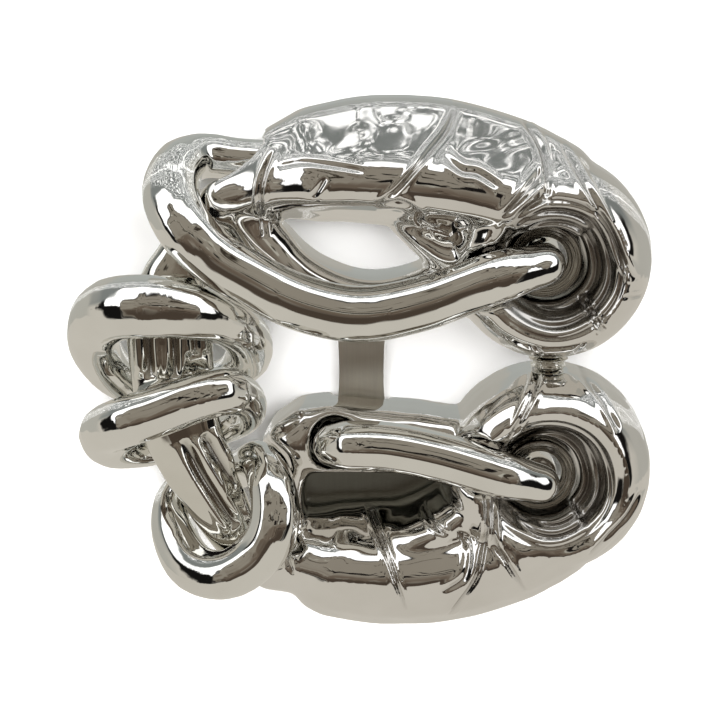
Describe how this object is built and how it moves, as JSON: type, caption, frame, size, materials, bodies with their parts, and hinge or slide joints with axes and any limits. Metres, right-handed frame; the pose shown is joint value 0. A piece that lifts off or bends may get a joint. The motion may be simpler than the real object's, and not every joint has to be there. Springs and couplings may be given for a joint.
{
  "type": "metal disentanglement puzzle",
  "caption": "Polished cast metal entanglement puzzle: two fat creased curved bodies round an open core, thick hooked links in front, and loops passing round the core.",
  "frame": {"origin": "on the rear strip's flat back face, between the two cast bodies; this is the plane the puzzle lies on", "axes": "+Z out of the front, away from the surface it lies on; +X towards the two eyes; +Y towards the upper body"},
  "size_m": [0.0646, 0.0601, 0.0148],
  "materials": {
    "cast_body": "polished cast zinc alloy, bright plated",
    "core": "polished cast zinc alloy, bright plated",
    "link": "polished plated rod",
    "ring": "polished plated rod",
    "collar": "turned and plated",
    "strip": "brushed along its length",
    "rivet": "plain",
    "dowel": "plain"
  },
  "bodies": {
    "frame": {"upper_body": "cast_body", "lower_body": "cast_body", "core_strand": "core", "right_neck": "core", "upper_eye_collar": "collar", "lower_eye_collar": "collar", "upper_core_dowel": "dowel", "lower_core_dowel": "dowel", "rear_strip": "strip", "upper_strip_rivet": "rivet", "lower_left_strip_rivet": "rivet", "lower_right_strip_rivet": "rivet"},
    "upper_link": {"upper_link_front": "link", "upper_link_back": "link", "upper_link_dowel": "dowel"},
    "lower_link": {"lower_link_front": "link", "lower_link_back": "link", "lower_link_dowel": "dowel"},
    "upper_loop": {"upper_ring": "ring"},
    "middle_loop": {"middle_ring": "ring"},
    "lower_loop": {"lower_ring": "ring"}
  },
  "joints": [
    {"name": "upper_link_swing", "type": "hinge", "parent": "frame", "child": "upper_link", "pos_m": [0.02, 0.0113, 0], "axis": [0, 0, 1], "range_deg": [-1.5, 0]},
    {"name": "lower_link_swing", "type": "hinge", "parent": "frame", "child": "lower_link", "pos_m": [0.02, -0.013, 0], "axis": [0, 0, 1], "range_deg": [-1.5, 1.5]},
    {"name": "upper_ring_lift", "type": "hinge", "parent": "frame", "child": "upper_loop", "pos_m": [-0.02, -0.0063, 0], "axis": [1, 0, 0], "range_deg": [0, 6]},
    {"name": "middle_ring_lift", "type": "hinge", "parent": "frame", "child": "middle_loop", "pos_m": [-0.02, -0.0124, 0], "axis": [0.9682, 0.2501, 0], "range_deg": [0, 5]},
    {"name": "lower_ring_lift", "type": "hinge", "parent": "frame", "child": "lower_loop", "pos_m": [-0.0182, -0.0134, 0], "axis": [-0.925, -0.38, 0], "range_deg": [0, 5]}
  ]
}
